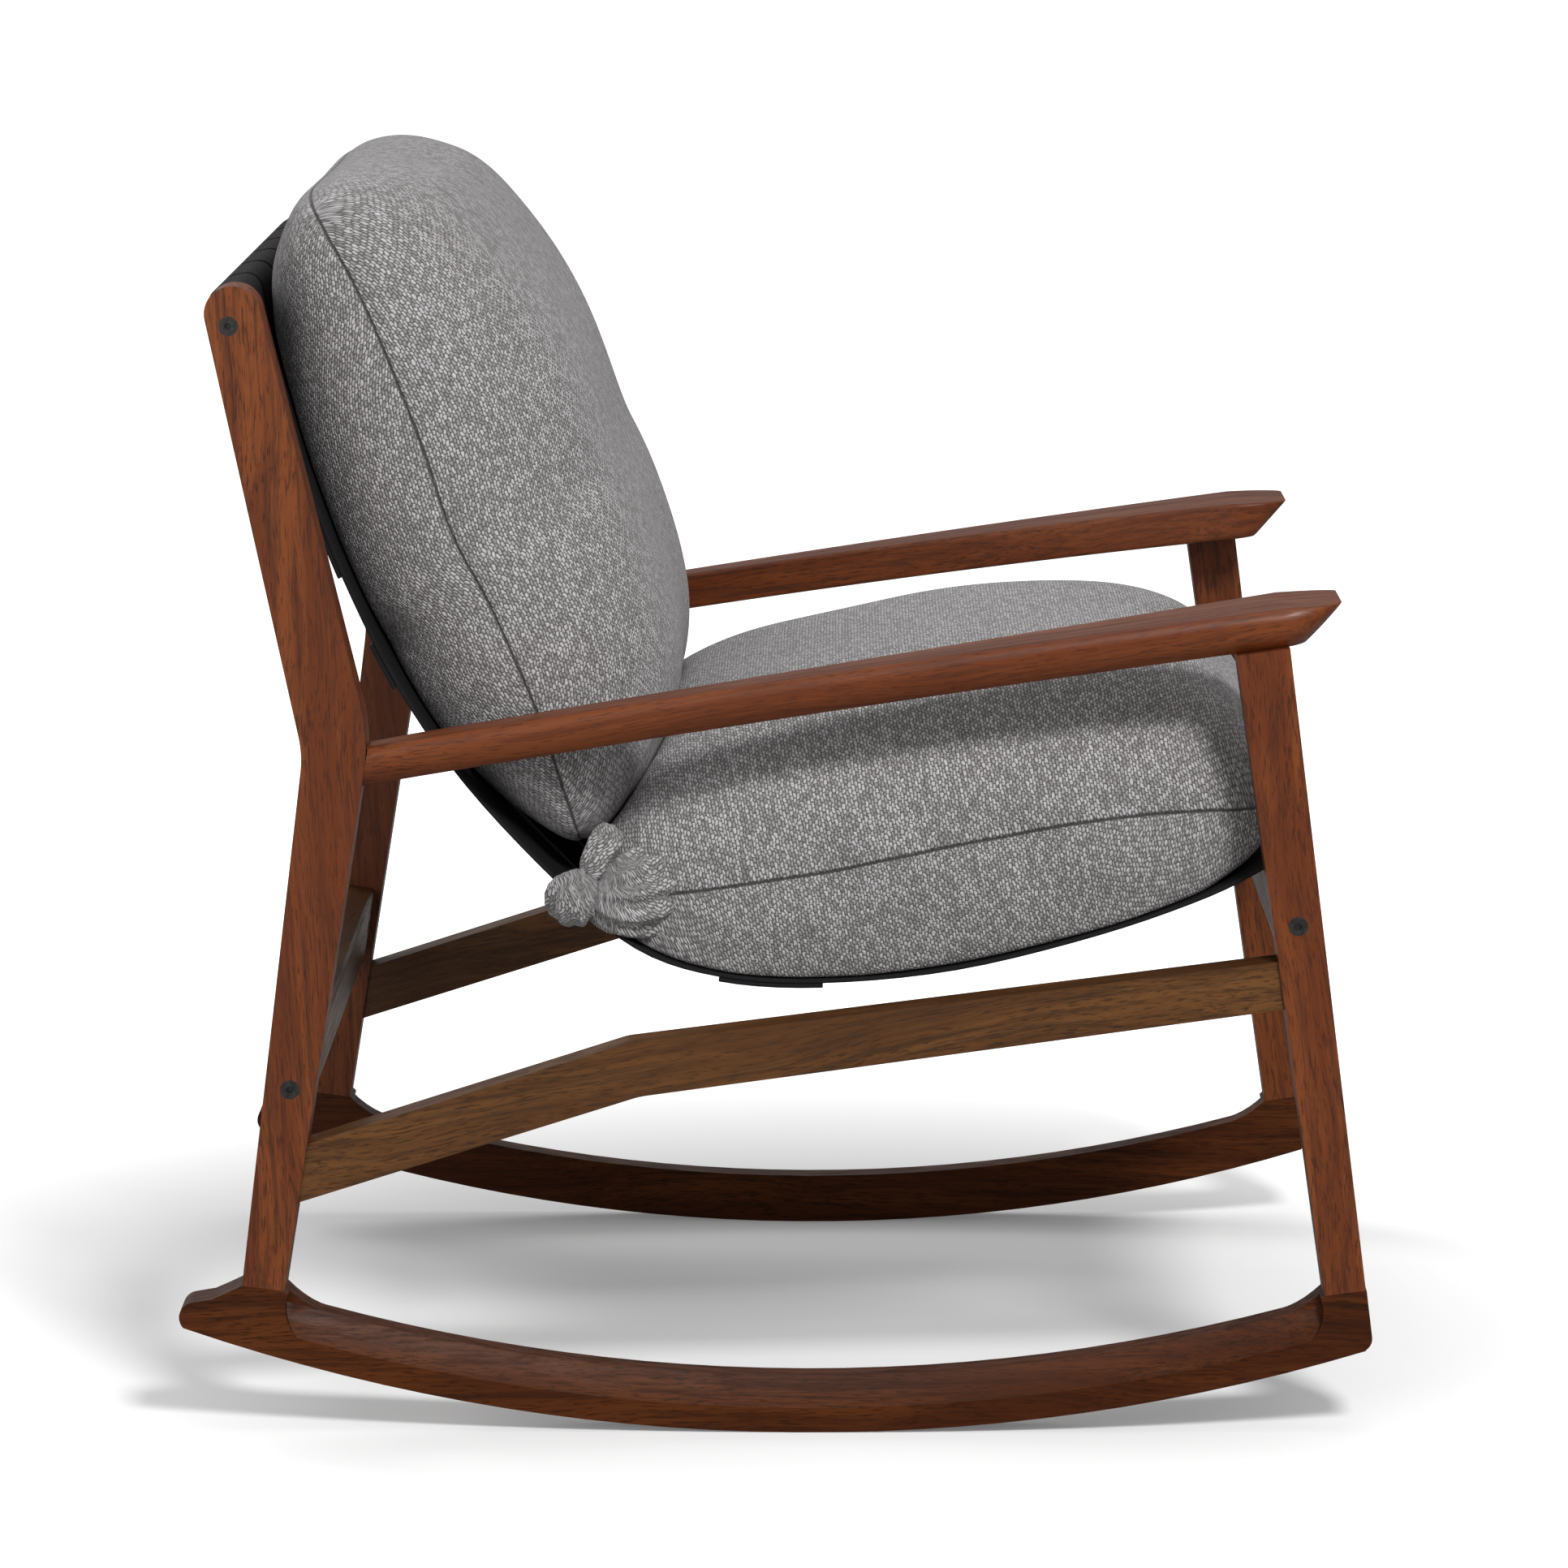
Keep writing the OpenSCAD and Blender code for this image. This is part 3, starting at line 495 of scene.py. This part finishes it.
class Cushion:
    """A closed pillow of two cloth panels that meet in one seam round its edge.

    stations are [x, z, outer, inner] in mm along the side seam: the outer and inner panels'
    distances from it in the middle of the cushion. out_side is +1 where the outer panel is on
    the left of the seam's direction. box_outer and box_inner say how square each panel's section
    is, and lumps is the height of its soft unevenness. wall, where given, is the part of the half
    width at which the inner panel turns up into a steep side, so that it covers the edge of what
    it rests on."""

    n_across, n_along = 72, 64  # cells of each panel
    corner_in = 0.075  # how far the corners draw in across, as a part of the half width
    corner_back = 0.07  # and along, as a part of half the length
    wall_round = 2.4  # how square the turn into the steep side is
    end_box = 4  # how square the section along the cushion is
    lump_scale = (7, 9, 5)  # of the noise: across, along, and between the two panels

    def __init__(
        self, name, stations, half_width, out_side, box_outer, box_inner, lumps, wall=None
    ):
        self.name = name
        path = smooth_path(np.array(stations, float) * MM, self.n_along)
        tangent = np.gradient(path[:, :2], axis=0)
        tangent /= np.linalg.norm(tangent, axis=1)[:, None]
        normal = out_side * np.column_stack([-tangent[:, 1], tangent[:, 0]])
        u = np.sin(np.linspace(-np.pi / 2, np.pi / 2, self.n_across + 1))
        v = -np.cos(np.linspace(0, np.pi, self.n_along + 1))
        uu, vv = np.meshgrid(u, v, indexing="ij")
        corner = (uu * vv) ** 6
        y = uu * half_width * (1 - self.corner_in * corner)
        pull = vv * (1 - self.corner_back * corner)
        self.sheets = []
        run = np.r_[0, np.cumsum(np.hypot(*np.diff(path[:, :2], axis=0).T))]
        for distance, side, box in ((path[:, 2], 1, box_outer), (path[:, 3], -1, box_inner)):
            rise = np.sqrt(np.clip(1 - np.abs(uu) ** box, 0, 1))
            if wall and side < 0:
                into = np.clip((np.abs(uu) - wall) / (1 - wall), 0, 1)
                rise = np.sqrt(1 - into**self.wall_round)
            end = np.sqrt(np.clip(1 - np.abs(vv) ** self.end_box, 0, 1))
            f, g, layer = self.lump_scale
            lump = lumps * rise * end * np.array(
                [[noise(Vector((f * a, g * b, layer * side))) for b in run] for a in y[:, 0]]
            )
            h = side * (distance[None, :] * rise * end + lump)
            row = np.interp(pull, v, np.arange(len(v)))
            x = np.interp(row, np.arange(len(v)), path[:, 0])
            z = np.interp(row, np.arange(len(v)), path[:, 1])
            x = x + normal[None, :, 0] * h
            z = z + normal[None, :, 1] * h
            self.sheets.append(np.stack([x, y, z], axis=2))
        self.edge = np.zeros(uu.shape, bool)
        self.edge[[0, -1], :] = True
        self.edge[:, [0, -1]] = True

    def build(self):
        """The mesh: both sheets share the vertices of the seam."""
        outer, inner = self.sheets
        count = outer.shape[0] * outer.shape[1]
        ids = np.arange(count).reshape(outer.shape[:2])
        back = np.full(ids.shape, -1)
        back[~self.edge] = count + np.arange((~self.edge).sum())
        back[self.edge] = ids[self.edge]
        self.ids = (ids, back)
        verts = np.vstack([outer.reshape(-1, 3), inner[~self.edge]])
        faces, self.corners = [], []
        for k, grid in enumerate(self.ids):
            for i in range(self.n_across):
                for j in range(self.n_along):
                    quad = [(i, j), (i + 1, j), (i + 1, j + 1), (i, j + 1)]
                    quad = quad if k else quad[::-1]
                    faces.append([int(grid[c]) for c in quad])
                    self.corners += [(k, *c) for c in quad]
        mesh = bpy.data.meshes.new(self.name)
        mesh.from_pydata(verts.tolist(), [], faces)
        mesh.polygons.foreach_set("use_smooth", [True] * len(mesh.polygons))
        self.obj = bpy.data.objects.new(self.name, mesh)
        bpy.context.scene.collection.objects.link(self.obj)
        # Faces point outwards
        bm = bmesh.new()
        bm.from_mesh(mesh)
        if bm.calc_volume(signed=True) < 0:
            bmesh.ops.reverse_faces(bm, faces=bm.faces)
            bm.to_mesh(mesh)
            self.corners = [
                c for q in range(0, len(self.corners), 4) for c in self.flipped(q)
            ]
        bm.free()

    def flipped(self, q):
        """A face's corners in the order that reversing it leaves them in."""
        a, b, c, d = self.corners[q : q + 4]
        return (a, d, c, b)

    def points(self):
        co = np.empty(len(self.obj.data.vertices) * 3)
        self.obj.data.vertices.foreach_get("co", co)
        return co.reshape(-1, 3)

    def move_to(self, co):
        self.obj.data.vertices.foreach_set("co", co.ravel())
        self.obj.data.update()

    def inflate(self, cap, pressure=4.0, frames=20):
        """Lets cloth under pressure find its own bulges, each point moving no more than cap."""
        before = self.points()
        scene = bpy.context.scene
        cloth = self.obj.modifiers.new("cloth", "CLOTH")
        s = cloth.settings
        s.quality = 6
        s.mass = 0.4
        s.tension_stiffness = s.compression_stiffness = 20
        s.shear_stiffness = 12
        s.bending_stiffness = 2.0
        s.use_pressure = True
        s.uniform_pressure_force = pressure
        s.effector_weights.gravity = 0
        cloth.collision_settings.use_collision = False
        cloth.point_cache.frame_start = 1
        cloth.point_cache.frame_end = frames
        for f in range(1, frames + 1):
            scene.frame_set(f)
        evaluated = self.obj.evaluated_get(bpy.context.evaluated_depsgraph_get())
        co = np.array([v.co for v in evaluated.to_mesh().vertices])
        evaluated.to_mesh_clear()
        self.obj.modifiers.remove(cloth)
        scene.frame_set(1)
        step = co - before
        size = np.linalg.norm(step, axis=1)
        self.move_to(before + step * np.minimum(1, cap / np.maximum(size, 1e-9))[:, None])

    def grids(self):
        co = self.points()
        return [co[ids] for ids in self.ids]

    def set_grids(self, grids):
        co = self.points()
        for ids, grid in zip(self.ids, grids):
            co[ids] = grid
        self.move_to(co)

    def sink_seam(self, depth):
        """The seam draws the cloth in towards the middle of the cushion."""
        grids = self.grids()
        for grid in grids:
            centre = (grid[2:-2, 2:-2].reshape(-1, 3)).mean(0)
            for ring, part in ((0, 1.0), (1, 0.32)):
                if ring == 0 and grid is grids[1]:
                    continue
                for sl in self.ring(ring, grid.shape):
                    p = grid[sl]
                    d = centre - p
                    d /= np.linalg.norm(d, axis=-1)[..., None]
                    grid[sl] = p + d * depth * part
        grids[1][self.edge] = grids[0][self.edge]
        self.set_grids(grids)

    @staticmethod
    def ring(k, shape):
        """The k-th ring of a grid, in from its edge, as four slices that share no point."""
        n, m = shape[0] - 1 - k, shape[1] - 1 - k
        return [
            (slice(k, n), k),
            (n, slice(k, m)),
            (slice(n, k, -1), m),
            (k, slice(m, k, -1)),
        ]

    def map_cloth(self, turned=False):
        """UV maps in metres: weave follows each panel, seam holds [along, away] of its edge."""
        maps = []
        for grid in self.grids():
            du = np.linalg.norm(np.diff(grid, axis=0), axis=2)
            dv = np.linalg.norm(np.diff(grid, axis=1), axis=2)
            u = np.vstack([np.zeros(grid.shape[1]), np.cumsum(du, axis=0)])
            v = np.column_stack([np.zeros(grid.shape[0]), np.cumsum(dv, axis=1)])
            away_u = np.minimum(u, u[-1] - u)
            away_v = np.minimum(v, v[:, -1:] - v)
            along = np.where(away_u < away_v, v, u)
            mid_u, mid_v = u[self.n_across // 2], v[:, self.n_along // 2]
            maps.append((u - mid_u[None, :], v - mid_v[:, None], along, np.minimum(away_u, away_v)))
        mesh = self.obj.data
        for name, pick in (("weave", (1, 0) if turned else (0, 1)), ("seam", (2, 3))):
            layer = mesh.uv_layers.new(name=name)
            uv = [maps[k][axis][i, j] for k, i, j in self.corners for axis in pick]
            layer.data.foreach_set("uv", uv)

    def finish(self, material, *replaced):
        self.obj.data.materials.append(material)
        sub = self.obj.modifiers.new("smooth_cloth", "SUBSURF")
        sub.levels = sub.render_levels = 1
        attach(self.obj, "root")
        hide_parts(*replaced)


def tree_of(objects):
    """One BVH of these objects as they are shown."""
    graph = bpy.context.evaluated_depsgraph_get()
    verts, faces = [], []
    for o in objects:
        e = o.evaluated_get(graph)
        mesh = e.to_mesh()
        faces += [[i + len(verts) for i in p.vertices] for p in mesh.polygons]
        verts += [o.matrix_world @ v.co for v in mesh.vertices]
        e.to_mesh_clear()
    return BVHTree.FromPolygons(verts, faces)


def rest_on(cushion, tree, way, reach, gap):
    """Moves the points that are behind a surface, seen along way, to its near side."""
    d = Vector(way).normalized()
    co = cushion.points()
    for i, p in enumerate(co):
        start = Vector(p) - d * 2 * MM
        hit = tree.ray_cast(start + d * reach, -d, reach)[0]
        if hit is not None:
            co[i] = hit + d * gap
    cushion.move_to(co)


def press_against(cushion, tree, gap):
    """Moves the points that are inside another closed shape out to its surface."""
    co = cushion.points()
    for i, p in enumerate(co):
        near, normal, _, away = tree.find_nearest(Vector(p), 0.2)
        if near is None:
            continue
        if (Vector(p) - near).dot(normal) < gap:
            co[i] = near + normal * gap
    cushion.move_to(co)


def gathered_roll(name, spine, radii, folds, material):
    """A closed roll of scrunched cloth: rings along spine whose radius waves in folds."""
    around = 48
    verts, faces = [], []
    spine = [Vector(p) for p in spine]
    for i, (p, r) in enumerate(zip(spine, radii)):
        d = (spine[min(i + 1, len(spine) - 1)] - spine[max(i - 1, 0)]).normalized()
        side = d.cross(Vector((0, 1, 0))).normalized()
        up = side.cross(d)
        for j in range(around):
            a = math.tau * j / around
            wave = 1 + 0.13 * math.cos(folds * a + 0.5 * i) + 0.06 * math.sin(3 * a + i)
            verts.append(p + (side * math.cos(a) + up * math.sin(a)) * r * wave)
    rings = len(spine)
    length = [0.0]
    for a, b, ra, rb in zip(spine, spine[1:], radii, radii[1:]):
        length.append(length[-1] + math.hypot((b - a).length, rb - ra))
    for i in range(rings - 1):
        for j in range(around):
            k = (j + 1) % around
            faces.append((i * around + j, i * around + k, (i + 1) * around + k,
                          (i + 1) * around + j))
    faces += [tuple(range(around))[::-1], tuple(range((rings - 1) * around, rings * around))]
    mesh = bpy.data.meshes.new(name)
    mesh.from_pydata([tuple(v) for v in verts], [], faces)
    mesh.polygons.foreach_set("use_smooth", [True] * len(mesh.polygons))
    mesh.materials.append(material)
    weave = mesh.uv_layers.new(name="weave")
    seam = mesh.uv_layers.new(name="seam")
    for poly in mesh.polygons:
        turn = [mesh.loops[li].vertex_index % around for li in poly.loop_indices]
        for li, t in zip(poly.loop_indices, turn):
            t = around if t == 0 and max(turn) == around - 1 else t
            ring = mesh.loops[li].vertex_index // around
            weave.data[li].uv = (t / around * math.tau * radii[ring], length[ring])
            seam.data[li].uv = (0, 1)
    obj = bpy.data.objects.new(name, mesh)
    bpy.context.scene.collection.objects.link(obj)
    sub = obj.modifiers.new("smooth_cloth", "SUBSURF")
    sub.levels = sub.render_levels = 1
    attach(obj, "root")
    return obj


def make_tie(node, side, tweed):
    """The knotted cloth tie that gathers the two cushions' corners together."""
    y = side * (half_width() - TIE_INSET)
    for part, (points, radii, folds) in TIE_PIECES.items():
        spine = [(x * MM, y - side * inward * MM, z * MM) for x, inward, z in points]
        piece = gathered_roll(f"{node}_{part}", spine, [r * MM for r in radii], folds, tweed)
        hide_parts(node)


def half_width():
    lo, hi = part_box("seat_cushion_top_panel")
    return (hi.y - lo.y) / 2


def make_cushions():
    tweed = tweed_material()
    back = Cushion(
        "back_cushion",
        [
            [-301, 789, 84, 58], [-284, 762, 91, 66], [-260, 719, 91, 69], [-228, 642, 98, 77],
            [-203, 570, 99, 77], [-183, 529, 98, 75], [-152, 456, 92, 68], [-135, 405, 76, 51],
            [-122, 358, 60, 36],
        ],
        half_width(), 1, 5, 9, 3 * MM,
    )
    seat = Cushion(
        "seat_cushion",
        [
            [-130, 334, 90, 42], [-55, 340, 102, 64], [23, 350, 107, 75], [126, 371, 107, 82],
            [229, 389.5, 99, 75], [304, 395, 91, 55], [335, 397, 80, 46],
        ],
        half_width() + SEAT_OVERHANG, 1, 4.5, 30, 3.5 * MM, wall=0.955,
    )
    straps = tree_of([NODES[n] for n in STRAPS])
    for cushion in (back, seat):
        cushion.build()
        cushion.inflate(INFLATE_CAP)
    rest_on(back, straps, OFF_BACK_STRAPS, STRAP_REACH, SKIN_GAP)
    rest_on(seat, straps, OFF_SEAT_STRAPS, STRAP_REACH, SKIN_GAP)
    bpy.context.view_layer.update()
    press_against(seat, tree_of([back.obj]), CUSHION_GAP)
    for cushion in (back, seat):
        cushion.sink_seam(SEAM_DEPTH)
        cushion.map_cloth(turned=cushion is seat)
    back.finish(tweed, "back_cushion_front_panel", "back_cushion_rear_panel", "back_cushion_core")
    seat.finish(tweed, "seat_cushion_top_panel", "seat_cushion_bottom_panel", "seat_cushion_fill")
    for side, node in ((-1, "right_cushion_tie"), (1, "left_cushion_tie")):
        make_tie(node, side, tweed)


bpy.context.scene.view_settings.view_transform = "Standard"
make_camera()
make_lights()
make_world()
make_floor()
dress_frame()
make_cushions()
